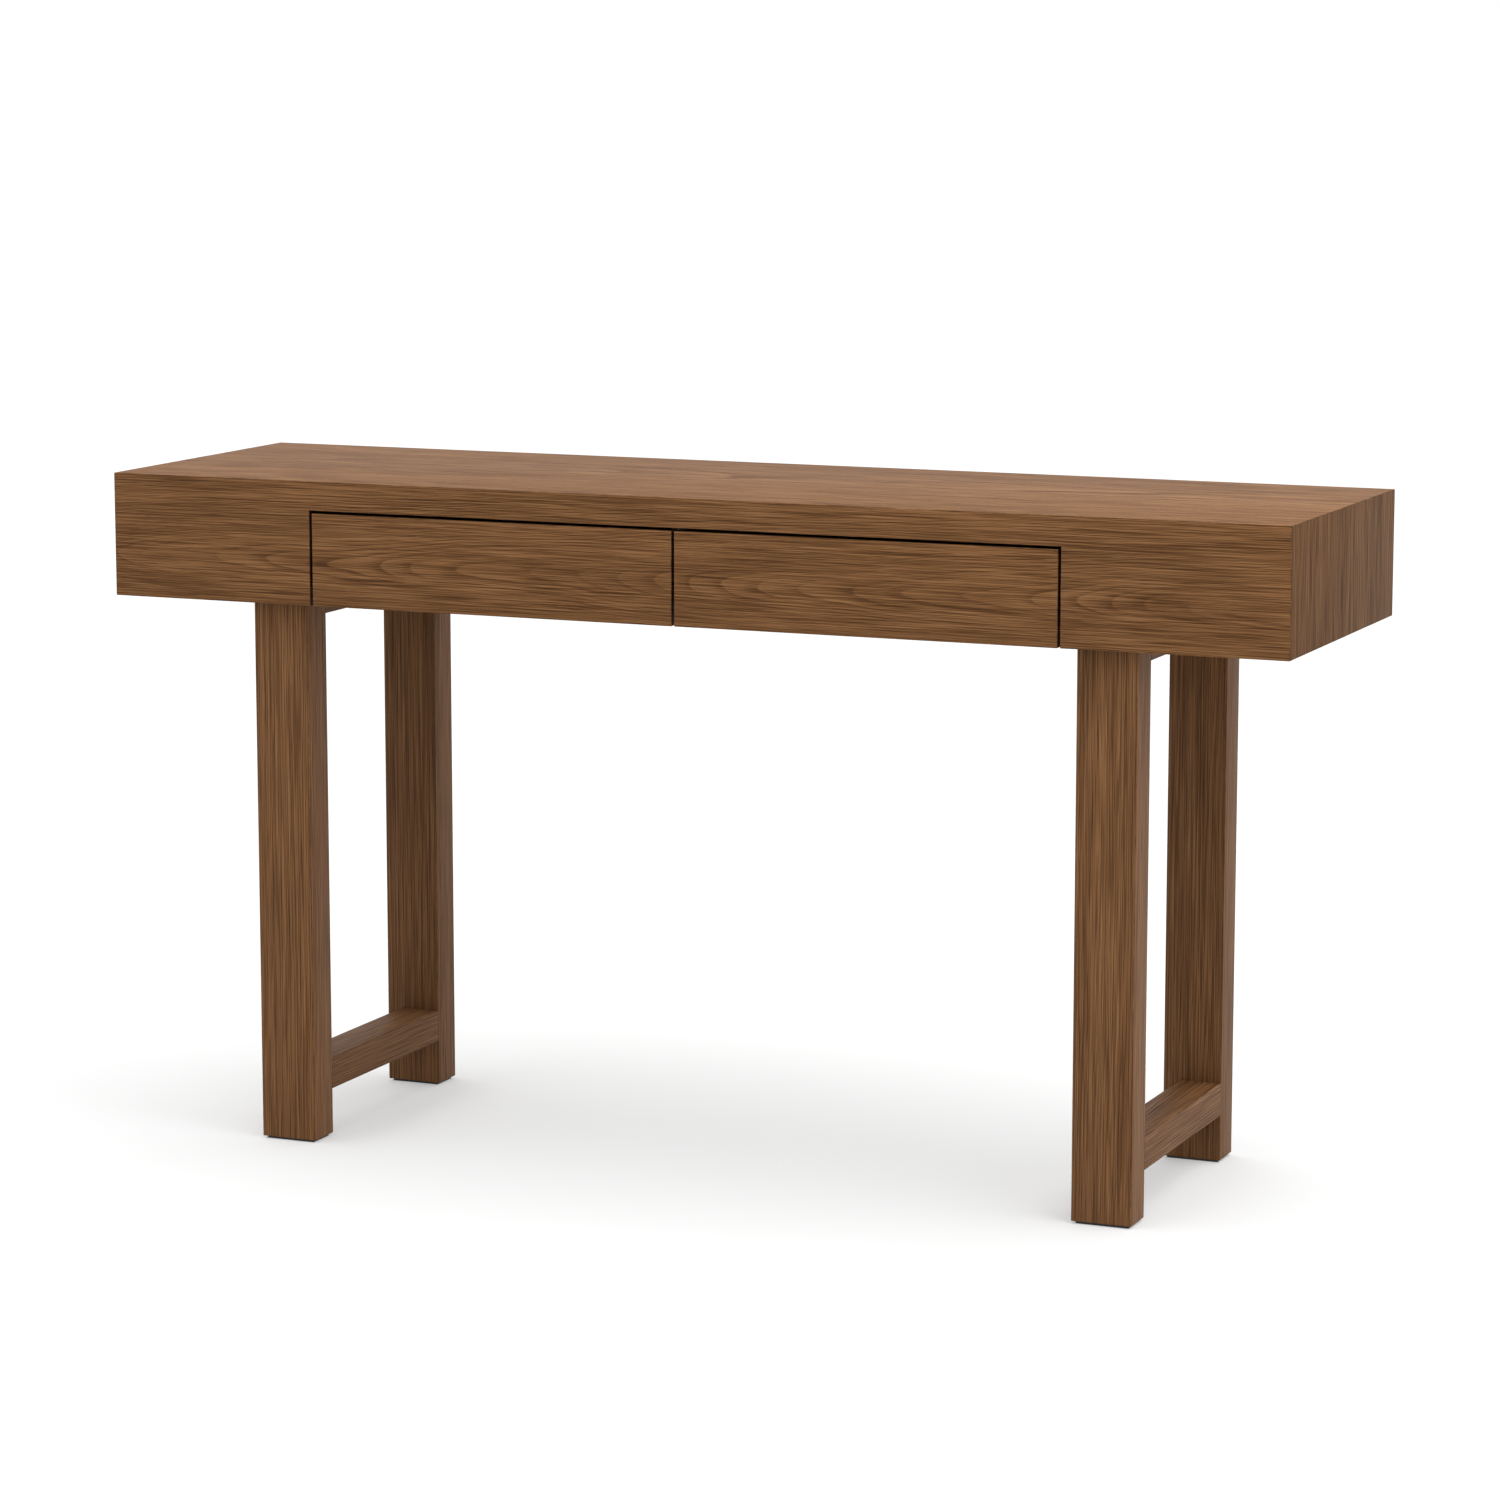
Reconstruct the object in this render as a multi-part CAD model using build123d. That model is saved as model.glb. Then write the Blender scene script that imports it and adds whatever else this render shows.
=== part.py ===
"""Console table: a shallow mitred case with two drawers, carried on two open leg frames.

Millimetres, +Z up. The origin is on the floor under the middle of the table. The drawers open towards -Y.
Every function returns solids in that frame, and the last section writes one STEP file for each node.
"""

from build123d import *
import os

# Overall size
WIDTH = 1524.0
DEPTH = 432.0
HEIGHT = 838.0

# Case: veneered boards mitred together at every outer corner
CASE_HEIGHT = 154.0
BOARD = 18.0
ARRIS = 1.2
BOTTOM_BOARD = 18.0
BOTTOM_RECESS = 23.0
PARTITION = 16.0
GLUE_BLOCK = 20.0
GLUE_BLOCK_LENGTH = 190.0
GLUE_BLOCK_PLACE = 20.0

# Drawer fronts, inset in the fascia
TOP_BAND = 36.0
GAP = 3.5
OPENING_HALF = 487.5
FRONT_ARRIS = 0.7
STOP_CLEARANCE = 1.5

# Drawer boxes: dovetailed boards with a plywood bottom in a groove
BOX_BOARD = 12.0
BOX_DEPTH = 350.0
BOX_LOW, BOX_HIGH = 728.0, 794.0
BOX_BOTTOM = 6.0
GROOVE_DEPTH = 6.0
GROOVE_HEIGHT = 7.0
GROOVE_CLEARANCE = 0.2
TAILS = 3
TAIL_WIDE, TAIL_NARROW = 17.0, 13.0

# Ball-bearing runners: three nested channels on each side of a drawer, with two ball cages between them
RUNNER_WIDTH = 12.7
RUNNER_SHEET = 1.2
RUNNER_LENGTH = 350.0
OUTER_HALF, OUTER_REACH = 22.5, 10.4
MIDDLE_HALF, MIDDLE_WEB, MIDDLE_REACH = 18.1, 2.4, 10.0
INNER_HALF, INNER_TIP = 13.7, 5.0
BALL_RADIUS = 1.5
BALL_CLEARANCE = 0.1
BALLS_PER_ROW = 6
BALL_PITCH = 20.0
CAGE_SHEET = 0.6
CAGE_LENGTH = 120.0
CAGE_GAP = 0.3
CAGE_STRIP = 5.0

# Leg frames: two posts, a low stretcher and a top rail, joined with dowels
POST_WIDTH, POST_DEPTH = 74.0, 49.0
POST_OUTER_X, POST_OUTER_Y = 576.0, 197.5
RAIL_WIDTH, RAIL_HEIGHT = 53.0, 41.0
STRETCHER_LOW = 60.0
POST_ARRIS = 1.0
DOWEL_RADIUS, DOWEL_LENGTH, DOWEL_SPACING = 5.0, 48.0, 26.0
DOWEL_CLEARANCE = 0.1
GLIDE_THICKNESS, GLIDE_INSET, GLIDE_CORNER = 3.0, 4.0, 2.0

# Fasteners
BOLT_RADIUS, BOLT_HEAD_RADIUS, BOLT_HEAD, BOLT_SHANK = 4.0, 6.5, 8.0, 34.0
BOLT_RECESS = 19.0
BOLT_CLEARANCE, BOLT_HEAD_CLEARANCE = 0.5, 1.0
HEX_KEY = 6.0
INSERT_RADIUS, INSERT_LENGTH = 6.5, 15.0
BOLT_PLACES = (-110.0, 110.0)
SCREW_RADIUS, SCREW_HEAD_RADIUS, SCREW_HEAD, SCREW_CROWN = 1.8, 3.6, 2.0, 1.0
SCREW_CLEARANCE, SCREW_TIP_ROOM = 0.1, 0.5
CROSS_LENGTH, CROSS_WIDTH, CROSS_DEPTH = 3.4, 0.9, 1.0
RUNNER_SCREW_PLACES = (-140.0, 0.0, 140.0)
RUNNER_SCREW_LENGTH = 7.0
FRONT_SCREW_LENGTH = 25.0
FRONT_SCREW_INSET, FRONT_SCREW_RISE, FRONT_SCREW_DROP = 70.0, 22.0, 12.0

# Places worked out from the sizes above
HALF_WIDTH, HALF_DEPTH = WIDTH / 2, DEPTH / 2
INSIDE_X, INSIDE_Y = HALF_WIDTH - BOARD, HALF_DEPTH - BOARD
CASE_LOW = HEIGHT - CASE_HEIGHT
INSIDE_TOP = HEIGHT - BOARD
BOTTOM_LOW = CASE_LOW + BOTTOM_RECESS
BOTTOM_HIGH = BOTTOM_LOW + BOTTOM_BOARD
OPENING_TOP = HEIGHT - TOP_BAND
FRONT_TOP = OPENING_TOP - GAP
RUNNER_Z = (BOX_LOW + BOX_HIGH) / 2
RUNNER_Y = -INSIDE_Y + STOP_CLEARANCE + RUNNER_LENGTH / 2
BOX_BACK_Y = -INSIDE_Y + BOX_DEPTH
TOP_RAIL_LOW = BOTTOM_LOW - RAIL_HEIGHT

# How far a cut runs past the face that it opens, and how near two places are to be the same
PAST = 1.0
TOUCH = 0.01


def block(x0, x1, y0, y1, z0, z1):
    """A box given by its two ends along each axis."""
    centre = ((x0 + x1) / 2, (y0 + y1) / 2, (z0 + z1) / 2)
    return Pos(*centre) * Box(abs(x1 - x0), abs(y1 - y0), abs(z1 - z0))


def rod(start, direction, radius, length):
    """A cylinder that starts at a point and runs along a direction."""
    return extrude(Plane(start, z_dir=direction) * Circle(radius), length)


def eased(solid, size):
    """A board with every arris rounded to a radius."""
    return fillet(solid.edges(), size)


# ---------------------------------------------------------------- case


def case_envelope():
    """The outer form of the case, with its arrises rounded, from which each mitred board is cut."""
    whole = block(-HALF_WIDTH, HALF_WIDTH, -HALF_DEPTH, HALF_DEPTH, CASE_LOW, HEIGHT)
    return eased(whole, ARRIS)


def mitre_wedge(plane, corner, toward_a, toward_b, length):
    """The waste beyond a 45 degree mitre: a triangle on corner, toward_a and toward_b, extruded both ways."""
    return extrude(plane * make_face(Polyline(corner, toward_a, toward_b, close=True)), length, both=True)


def top_panel():
    panel = block(-HALF_WIDTH, HALF_WIDTH, -HALF_DEPTH, HALF_DEPTH, INSIDE_TOP, HEIGHT)
    for side in (-1, 1):
        panel -= mitre_wedge(
            Plane.YZ,
            (side * HALF_DEPTH, INSIDE_TOP),
            (side * INSIDE_Y, INSIDE_TOP),
            (side * HALF_DEPTH, HEIGHT),
            WIDTH,
        )
        panel -= mitre_wedge(
            Plane.XZ,
            (side * HALF_WIDTH, INSIDE_TOP),
            (side * INSIDE_X, INSIDE_TOP),
            (side * HALF_WIDTH, HEIGHT),
            DEPTH,
        )
    return panel & case_envelope()


def long_board(side):
    """The fascia (side -1) or the back (side 1): mitred to the top and to both ends."""
    outer, inner = side * HALF_DEPTH, side * INSIDE_Y
    board = block(-HALF_WIDTH, HALF_WIDTH, outer, inner, CASE_LOW, HEIGHT)
    board -= mitre_wedge(Plane.YZ, (inner, HEIGHT), (inner, INSIDE_TOP), (outer, HEIGHT), WIDTH)
    for end in (-1, 1):
        board -= mitre_wedge(
            Plane.XY,
            (end * HALF_WIDTH, inner),
            (end * INSIDE_X, inner),
            (end * HALF_WIDTH, outer),
            2 * HEIGHT,
        )
    return board & case_envelope()


def front_fascia():
    """The fascia, open at the bottom where the two drawer fronts sit."""
    fascia = long_board(-1)
    fascia -= block(
        -OPENING_HALF,
        OPENING_HALF,
        -HALF_DEPTH - PAST,
        -INSIDE_Y + PAST,
        CASE_LOW - PAST,
        OPENING_TOP,
    )
    mouth = fascia.edges().filter_by(
        lambda edge: abs(edge.center().Y + HALF_DEPTH) < TOUCH
        and abs(edge.center().X) < OPENING_HALF + TOUCH
        and CASE_LOW + ARRIS < edge.center().Z < OPENING_TOP + TOUCH
    )
    return chamfer(mouth, FRONT_ARRIS)


def end_panel(side):
    outer, inner = side * HALF_WIDTH, side * INSIDE_X
    panel = block(outer, inner, -HALF_DEPTH, HALF_DEPTH, CASE_LOW, HEIGHT)
    panel -= mitre_wedge(Plane.XZ, (inner, HEIGHT), (inner, INSIDE_TOP), (outer, HEIGHT), DEPTH)
    for end in (-1, 1):
        panel -= mitre_wedge(
            Plane.XY,
            (inner, end * HALF_DEPTH),
            (inner, end * INSIDE_Y),
            (outer, end * HALF_DEPTH),
            2 * HEIGHT,
        )
    return panel & case_envelope()


def bottom_panel():
    """The recessed bottom, notched behind the drawer fronts and drilled for the leg-frame inserts."""
    panel = block(-INSIDE_X, INSIDE_X, -INSIDE_Y, INSIDE_Y, BOTTOM_LOW, BOTTOM_HIGH)
    panel -= block(
        -OPENING_HALF,
        OPENING_HALF,
        -INSIDE_Y - PAST,
        -INSIDE_Y + STOP_CLEARANCE,
        BOTTOM_LOW - PAST,
        BOTTOM_HIGH + PAST,
    )
    for side in (-1, 1):
        for x, y in bolt_places(side):
            panel -= rod((x, y, BOTTOM_LOW), (0, 0, 1), INSERT_RADIUS + SCREW_CLEARANCE, INSERT_LENGTH + PAST)
    return panel


def partition(place):
    """A drawer partition: place is -1, 0 or 1. The middle one stands clear of the drawer fronts."""
    middle = place * (OPENING_HALF + PARTITION / 2)
    left, right = middle - PARTITION / 2, middle + PARTITION / 2
    front = -INSIDE_Y + (STOP_CLEARANCE if place == 0 else 0)
    board = block(left, right, front, INSIDE_Y, BOTTOM_HIGH, INSIDE_TOP)
    for wall, hand in runner_walls():
        if left - TOUCH < wall < right + TOUCH:
            for hole in runner_screw_holes(wall, -hand):
                board -= hole
    return board


def glue_blocks():
    """Square battens that tie the top and the bottom to the fascia and the back, beside the drawer bays."""
    blocks = []
    for side in (-1, 1):
        x0 = side * (OPENING_HALF + PARTITION + GLUE_BLOCK_PLACE)
        for end in (-1, 1):
            for z0 in (BOTTOM_HIGH, INSIDE_TOP - GLUE_BLOCK):
                x1 = x0 + side * GLUE_BLOCK_LENGTH
                y0, y1 = end * INSIDE_Y, end * (INSIDE_Y - GLUE_BLOCK)
                blocks.append(block(x0, x1, y0, y1, z0, z0 + GLUE_BLOCK))
    return Compound(children=blocks)


# ---------------------------------------------------------------- leg frames


def frame_x(side):
    """The two X faces of a leg frame, lower first."""
    low = -POST_OUTER_X if side < 0 else POST_OUTER_X - POST_WIDTH
    return low, low + POST_WIDTH


def rail_x(side):
    """The two X faces of a stretcher or top rail, which sits flush with its posts' right-hand faces."""
    high = frame_x(side)[1]
    return high - RAIL_WIDTH, high


def bolt_places(side):
    """X and Y of the bolts that hold a leg frame to the case."""
    x = sum(rail_x(side)) / 2
    return [(x, y) for y in BOLT_PLACES]


def dowel_rods(side, end, low, clearance=0.0):
    """The two dowels between a post (end -1 front, 1 rear) and the rail whose lower face is at low."""
    middle = sum(rail_x(side)) / 2
    face = end * (POST_OUTER_Y - POST_DEPTH)
    length = DOWEL_LENGTH + 2 * clearance
    start = face - end * length / 2
    return [
        rod(
            (middle + k * DOWEL_SPACING / 2, start, low + RAIL_HEIGHT / 2),
            (0, end, 0),
            DOWEL_RADIUS + clearance,
            length,
        )
        for k in (-1, 1)
    ]


def post(side, end):
    x0, x1 = frame_x(side)
    outer, inner = end * POST_OUTER_Y, end * (POST_OUTER_Y - POST_DEPTH)
    board = eased(block(x0, x1, outer, inner, GLIDE_THICKNESS, BOTTOM_LOW), POST_ARRIS)
    for low in (STRETCHER_LOW, TOP_RAIL_LOW):
        for hole in dowel_rods(side, end, low, DOWEL_CLEARANCE):
            board -= hole
    return board


def cross_rail(side, low):
    """A stretcher or top rail between the posts of one frame, with its long arrises eased."""
    x0, x1 = rail_x(side)
    reach = POST_OUTER_Y - POST_DEPTH
    rail = block(x0, x1, -reach, reach, low, low + RAIL_HEIGHT)
    rail = fillet(rail.edges().filter_by(Axis.Y), POST_ARRIS)
    for end in (-1, 1):
        for hole in dowel_rods(side, end, low, DOWEL_CLEARANCE):
            rail -= hole
    return rail


def top_rail(side):
    """The top rail, counterbored from below for the two bolts."""
    rail = cross_rail(side, TOP_RAIL_LOW)
    for x, y in bolt_places(side):
        rail -= rod((x, y, TOP_RAIL_LOW), (0, 0, 1), BOLT_HEAD_RADIUS + BOLT_HEAD_CLEARANCE, BOLT_RECESS)
        rail -= rod((x, y, TOP_RAIL_LOW), (0, 0, 1), BOLT_RADIUS + BOLT_CLEARANCE, RAIL_HEIGHT)
    return rail


def frame_dowels(side):
    pegs = []
    for end in (-1, 1):
        for low in (STRETCHER_LOW, TOP_RAIL_LOW):
            pegs += dowel_rods(side, end, low)
    return Compound(children=pegs)


def glides(side):
    """Black nylon glides under both posts of a frame, a little smaller than the posts."""
    x0, x1 = frame_x(side)
    pads = []
    for end in (-1, 1):
        outer = end * (POST_OUTER_Y - GLIDE_INSET)
        inner = end * (POST_OUTER_Y - POST_DEPTH + GLIDE_INSET)
        pad = block(x0 + GLIDE_INSET, x1 - GLIDE_INSET, outer, inner, 0, GLIDE_THICKNESS)
        pads.append(fillet(pad.edges().filter_by(Axis.Z), GLIDE_CORNER))
    return Compound(children=pads)


def frame_bolts(side):
    """Hexagon-socket bolts from the top rail up into the case bottom."""
    bolts = []
    for x, y in bolt_places(side):
        seat = TOP_RAIL_LOW + BOLT_RECESS
        bolt = rod((x, y, seat - BOLT_HEAD), (0, 0, 1), BOLT_HEAD_RADIUS, BOLT_HEAD)
        bolt += rod((x, y, seat), (0, 0, 1), BOLT_RADIUS, BOLT_SHANK)
        socket = Plane((x, y, seat - BOLT_HEAD)) * RegularPolygon(HEX_KEY / 2, 6, major_radius=False)
        bolts.append(bolt - extrude(socket, BOLT_HEAD / 2))
    return Compound(children=bolts)


def threaded_inserts():
    """Flush inserts in the case bottom that take the leg-frame bolts."""
    sleeves = []
    for side in (-1, 1):
        for x, y in bolt_places(side):
            sleeve = rod((x, y, BOTTOM_LOW), (0, 0, 1), INSERT_RADIUS, INSERT_LENGTH)
            bore = rod((x, y, BOTTOM_LOW), (0, 0, 1), BOLT_RADIUS + SCREW_CLEARANCE, INSERT_LENGTH)
            sleeves.append(sleeve - bore)
    return Compound(children=sleeves)


# ---------------------------------------------------------------- drawers


def bay_x(side):
    """The two X faces of a drawer's bay, between its partitions."""
    return (-OPENING_HALF, -PARTITION / 2) if side < 0 else (PARTITION / 2, OPENING_HALF)


def box_x(side):
    """The two outer X faces of a drawer box."""
    left, right = bay_x(side)
    return left + RUNNER_WIDTH, right - RUNNER_WIDTH


def bay_walls(side):
    """The two walls of a drawer's bay, each with the X direction from the wall to the drawer."""
    return list(zip(bay_x(side), (1, -1)))


def runner_walls():
    """All four walls that carry a runner."""
    return bay_walls(-1) + bay_walls(1)


def runner_screw_holes(face, into):
    """Pilot holes for the screws of one runner, from a face in the X direction into."""
    radius, depth = SCREW_RADIUS + SCREW_CLEARANCE, RUNNER_SCREW_LENGTH + SCREW_TIP_ROOM
    return [rod((face, RUNNER_Y + y, RUNNER_Z), (into, 0, 0), radius, depth) for y in RUNNER_SCREW_PLACES]


def drawer_front(side):
    """The visible inset front: its lower edge hangs below the case bottom and is the finger pull."""
    inner, outer = GAP / 2, OPENING_HALF - GAP
    x0, x1 = (-outer, -inner) if side < 0 else (inner, outer)
    front = block(x0, x1, -HALF_DEPTH, -INSIDE_Y, CASE_LOW, FRONT_TOP)
    front = fillet(front.edges(), FRONT_ARRIS)
    depth = FRONT_SCREW_LENGTH - BOX_BOARD + SCREW_TIP_ROOM
    for x, z in front_screw_places(side):
        front -= rod((x, -INSIDE_Y, z), (0, -1, 0), SCREW_RADIUS + SCREW_CLEARANCE, depth)
    return front


def corner_tails(x0, x1, y_end, y_inner):
    """The dovetails in one box corner: flared towards the end of the side board."""
    pitch = (BOX_HIGH - BOX_LOW) / TAILS
    tails = []
    for n in range(TAILS):
        z = BOX_LOW + pitch * (n + 0.5)
        outline = Polyline(
            (y_end, z - TAIL_WIDE / 2),
            (y_end, z + TAIL_WIDE / 2),
            (y_inner, z + TAIL_NARROW / 2),
            (y_inner, z - TAIL_NARROW / 2),
            close=True,
        )
        tails.append(extrude(Plane.YZ.offset(x0) * make_face(outline), x1 - x0))
    return tails


def box_bottom(side, clearance=0.0):
    """The plywood bottom, or with a clearance the groove that it sits in."""
    left, right = box_x(side)
    rim = BOX_BOARD - GROOVE_DEPTH - clearance
    z0 = BOX_LOW + GROOVE_HEIGHT
    return block(
        left + rim,
        right - rim,
        -INSIDE_Y + rim,
        BOX_BACK_Y - rim,
        z0 - clearance,
        z0 + BOX_BOTTOM + clearance,
    )


def box_corners(side):
    """For each corner of a box: its side's X faces, then the Y of the board's end and of the joint's line."""
    left, right = box_x(side)
    ends = ((-INSIDE_Y, -INSIDE_Y + BOX_BOARD), (BOX_BACK_Y, BOX_BACK_Y - BOX_BOARD))
    hands = ((left, left + BOX_BOARD), (right - BOX_BOARD, right))
    return {(h, e): (*hands[h], *ends[e]) for h in (0, 1) for e in (0, 1)}


def box_side(side, hand):
    """A side of a drawer box (hand 0 left, 1 right), with tails cut on both ends."""
    corners = box_corners(side)
    x0, x1 = corners[hand, 0][:2]
    board = block(x0, x1, -INSIDE_Y, BOX_BACK_Y, BOX_LOW, BOX_HIGH)
    for end in (0, 1):
        _, _, y_end, y_inner = corners[hand, end]
        waste = block(x0, x1, y_end, y_inner, BOX_LOW, BOX_HIGH)
        for tail in corner_tails(x0, x1, y_end, y_inner):
            waste -= tail
        board -= waste
    outer_face, inward = (x0, 1) if hand == 0 else (x1, -1)
    for hole in runner_screw_holes(outer_face, inward):
        board -= hole
    return board - box_bottom(side, GROOVE_CLEARANCE)


def box_end(side, end):
    """The front (end 0) or back (end 1) of a drawer box, with sockets for the tails."""
    left, right = box_x(side)
    corners = box_corners(side)
    y_end, y_inner = corners[0, end][2:]
    board = block(left, right, y_end, y_inner, BOX_LOW, BOX_HIGH)
    for hand in (0, 1):
        for tail in corner_tails(*corners[hand, end]):
            board -= tail
    if end == 0:
        for x, z in front_screw_places(side):
            board -= rod((x, y_inner, z), (0, -1, 0), SCREW_RADIUS + SCREW_CLEARANCE, BOX_BOARD)
    return board - box_bottom(side, GROOVE_CLEARANCE)


def front_screw_places(side):
    """X and Z of the screws that hold a drawer front."""
    left, right = box_x(side)
    return [
        (x, z)
        for x in (left + FRONT_SCREW_INSET, right - FRONT_SCREW_INSET)
        for z in (BOX_LOW + FRONT_SCREW_RISE, BOX_HIGH - FRONT_SCREW_DROP)
    ]


def pan_screw(point, direction, length):
    """A pan-head screw whose head sits on point and whose shank runs along direction."""
    seat = Plane(point, z_dir=direction)
    head = extrude(seat * Circle(SCREW_HEAD_RADIUS), -SCREW_HEAD)
    head = fillet(head.edges().sort_by(lambda edge: edge.center().dot(seat.z_dir))[0], SCREW_CROWN)
    screw = head + extrude(seat * Circle(SCREW_RADIUS), length)
    crown = seat.offset(-SCREW_HEAD)
    for turn in (0, 90):
        cross = crown * Rot(0, 0, turn) * Rectangle(CROSS_LENGTH, CROSS_WIDTH)
        screw -= extrude(cross, CROSS_DEPTH)
    return screw


def front_screws(side):
    """The screws that hold a drawer front to its box, driven from inside the box."""
    y = -INSIDE_Y + BOX_BOARD
    places = front_screw_places(side)
    return Compound(children=[pan_screw((x, y, z), (0, -1, 0), FRONT_SCREW_LENGTH) for x, z in places])


# ---------------------------------------------------------------- runners


def channel(wall, hand, web, tip, half):
    """A pressed channel along Y. web and tip are the back of its web and its flanges' tips, from the wall."""
    inside = web + RUNNER_SHEET if tip > web else web - RUNNER_SHEET
    outline = Polyline(
        (wall + hand * web, half),
        (wall + hand * tip, half),
        (wall + hand * tip, half - RUNNER_SHEET),
        (wall + hand * inside, half - RUNNER_SHEET),
        (wall + hand * inside, RUNNER_SHEET - half),
        (wall + hand * tip, RUNNER_SHEET - half),
        (wall + hand * tip, -half),
        (wall + hand * web, -half),
        close=True,
    )
    section = Plane((0, RUNNER_Y, RUNNER_Z), x_dir=(1, 0, 0), z_dir=(0, -1, 0)) * make_face(outline)
    return extrude(section, RUNNER_LENGTH / 2, both=True)


def outer_runner(wall, hand):
    """The channel fixed to the partition, with countersunk holes."""
    runner = channel(wall, hand, 0, OUTER_REACH, OUTER_HALF)
    for y in RUNNER_SCREW_PLACES:
        runner -= countersunk_head(wall, hand, y, SCREW_CLEARANCE)
    return runner


def middle_runner(wall, hand):
    return channel(wall, hand, MIDDLE_WEB, MIDDLE_REACH, MIDDLE_HALF)


def inner_runner(wall, hand):
    """The channel fixed to the drawer box, open towards the wall."""
    runner = channel(wall, hand, RUNNER_WIDTH, INNER_TIP, INNER_HALF)
    for y in RUNNER_SCREW_PLACES:
        start = (wall + hand * (RUNNER_WIDTH - 2 * RUNNER_SHEET), RUNNER_Y + y, RUNNER_Z)
        runner -= rod(start, (hand, 0, 0), SCREW_RADIUS + SCREW_CLEARANCE, 3 * RUNNER_SHEET)
    return runner


def countersunk_head(wall, hand, y, clearance=0.0):
    """The cone that fills a countersink in an outer runner's web."""
    middle = Pos(wall + hand * RUNNER_SHEET / 2, RUNNER_Y + y, RUNNER_Z)
    turned = middle * Rot(0, hand * 90, 0)
    return turned * Cone(SCREW_RADIUS + clearance, SCREW_HEAD_RADIUS + clearance, RUNNER_SHEET)


def outer_runner_screws():
    """Countersunk screws from the four outer runners into the partitions."""
    screws = []
    for wall, hand in runner_walls():
        for y in RUNNER_SCREW_PLACES:
            shank = rod((wall, RUNNER_Y + y, RUNNER_Z), (-hand, 0, 0), SCREW_RADIUS, RUNNER_SCREW_LENGTH)
            screws.append(countersunk_head(wall, hand, y) + shank)
    return Compound(children=screws)


def inner_runner_screws(side):
    """Pan-head screws from both inner runners into the sides of one drawer box."""
    screws = []
    for wall, hand in bay_walls(side):
        x = wall + hand * (RUNNER_WIDTH - RUNNER_SHEET)
        for y in RUNNER_SCREW_PLACES:
            length = RUNNER_SHEET + RUNNER_SCREW_LENGTH
            screws.append(pan_screw((x, RUNNER_Y + y, RUNNER_Z), (hand, 0, 0), length))
    return Compound(children=screws)


def ball_cages(side, web, half):
    """The cages and balls for both runners of a drawer. half is the height of a row above the middle."""
    pieces = []
    middle = web + CAGE_SHEET + CAGE_STRIP / 2
    for wall, hand in bay_walls(side):
        y0, y1 = RUNNER_Y - CAGE_LENGTH / 2, RUNNER_Y + CAGE_LENGTH / 2
        near, far = wall + hand * web, wall + hand * (web + CAGE_SHEET)
        tip = wall + hand * (web + CAGE_SHEET + CAGE_STRIP)
        cage = block(near, far, y0, y1, RUNNER_Z - half, RUNNER_Z + half)
        for up in (-1, 1):
            z = RUNNER_Z + up * half
            cage += block(near, tip, y0, y1, z - CAGE_SHEET / 2, z + CAGE_SHEET / 2)
        for n in range(BALLS_PER_ROW):
            y = RUNNER_Y + (n - (BALLS_PER_ROW - 1) / 2) * BALL_PITCH
            for up in (-1, 1):
                centre = (wall + hand * middle, y, RUNNER_Z + up * half)
                cage -= Pos(*centre) * Cylinder(BALL_RADIUS + BALL_CLEARANCE, 2 * CAGE_SHEET)
                pieces.append(Pos(*centre) * Sphere(BALL_RADIUS))
        pieces.append(cage)
    return Compound(children=pieces)


def outer_ball_cages(side):
    """Cages that run between the outer and the middle runners."""
    half = (OUTER_HALF - RUNNER_SHEET + MIDDLE_HALF) / 2
    return ball_cages(side, RUNNER_SHEET + CAGE_GAP, half)


def inner_ball_cages(side):
    """Cages that run between the middle and the inner runners."""
    half = (MIDDLE_HALF - RUNNER_SHEET + INNER_HALF) / 2
    return ball_cages(side, MIDDLE_WEB + RUNNER_SHEET + CAGE_GAP, half)


# ---------------------------------------------------------------- nodes


def table_nodes():
    """Every node of the table, by name."""
    nodes = {
        "top_panel": top_panel(),
        "front_fascia": front_fascia(),
        "back_panel": long_board(1),
        "bottom_panel": bottom_panel(),
        "centre_partition": partition(0),
        "glue_blocks": glue_blocks(),
        "threaded_inserts": threaded_inserts(),
        "outer_runner_screws": outer_runner_screws(),
    }
    for name, side in (("left", -1), ("right", 1)):
        nodes[f"{name}_end_panel"] = end_panel(side)
        nodes[f"{name}_partition"] = partition(side)
        nodes[f"{name}_front_post"] = post(side, -1)
        nodes[f"{name}_rear_post"] = post(side, 1)
        nodes[f"{name}_stretcher"] = cross_rail(side, STRETCHER_LOW)
        nodes[f"{name}_top_rail"] = top_rail(side)
        nodes[f"{name}_frame_dowels"] = frame_dowels(side)
        nodes[f"{name}_frame_bolts"] = frame_bolts(side)
        nodes[f"{name}_glides"] = glides(side)
        drawer = f"{name}_drawer"
        nodes[f"{drawer}_front"] = drawer_front(side)
        nodes[f"{drawer}_box_front"] = box_end(side, 0)
        nodes[f"{drawer}_box_back"] = box_end(side, 1)
        nodes[f"{drawer}_box_left_side"] = box_side(side, 0)
        nodes[f"{drawer}_box_right_side"] = box_side(side, 1)
        nodes[f"{drawer}_box_bottom"] = box_bottom(side)
        nodes[f"{drawer}_front_screws"] = front_screws(side)
        nodes[f"{drawer}_runner_screws"] = inner_runner_screws(side)
        nodes[f"{drawer}_outer_ball_cages"] = outer_ball_cages(side)
        nodes[f"{drawer}_inner_ball_cages"] = inner_ball_cages(side)
        for place, (wall, hand) in zip(("left", "right"), bay_walls(side)):
            nodes[f"{drawer}_{place}_outer_runner"] = outer_runner(wall, hand)
            nodes[f"{drawer}_{place}_middle_runner"] = middle_runner(wall, hand)
            nodes[f"{drawer}_{place}_inner_runner"] = inner_runner(wall, hand)
    return nodes


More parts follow.
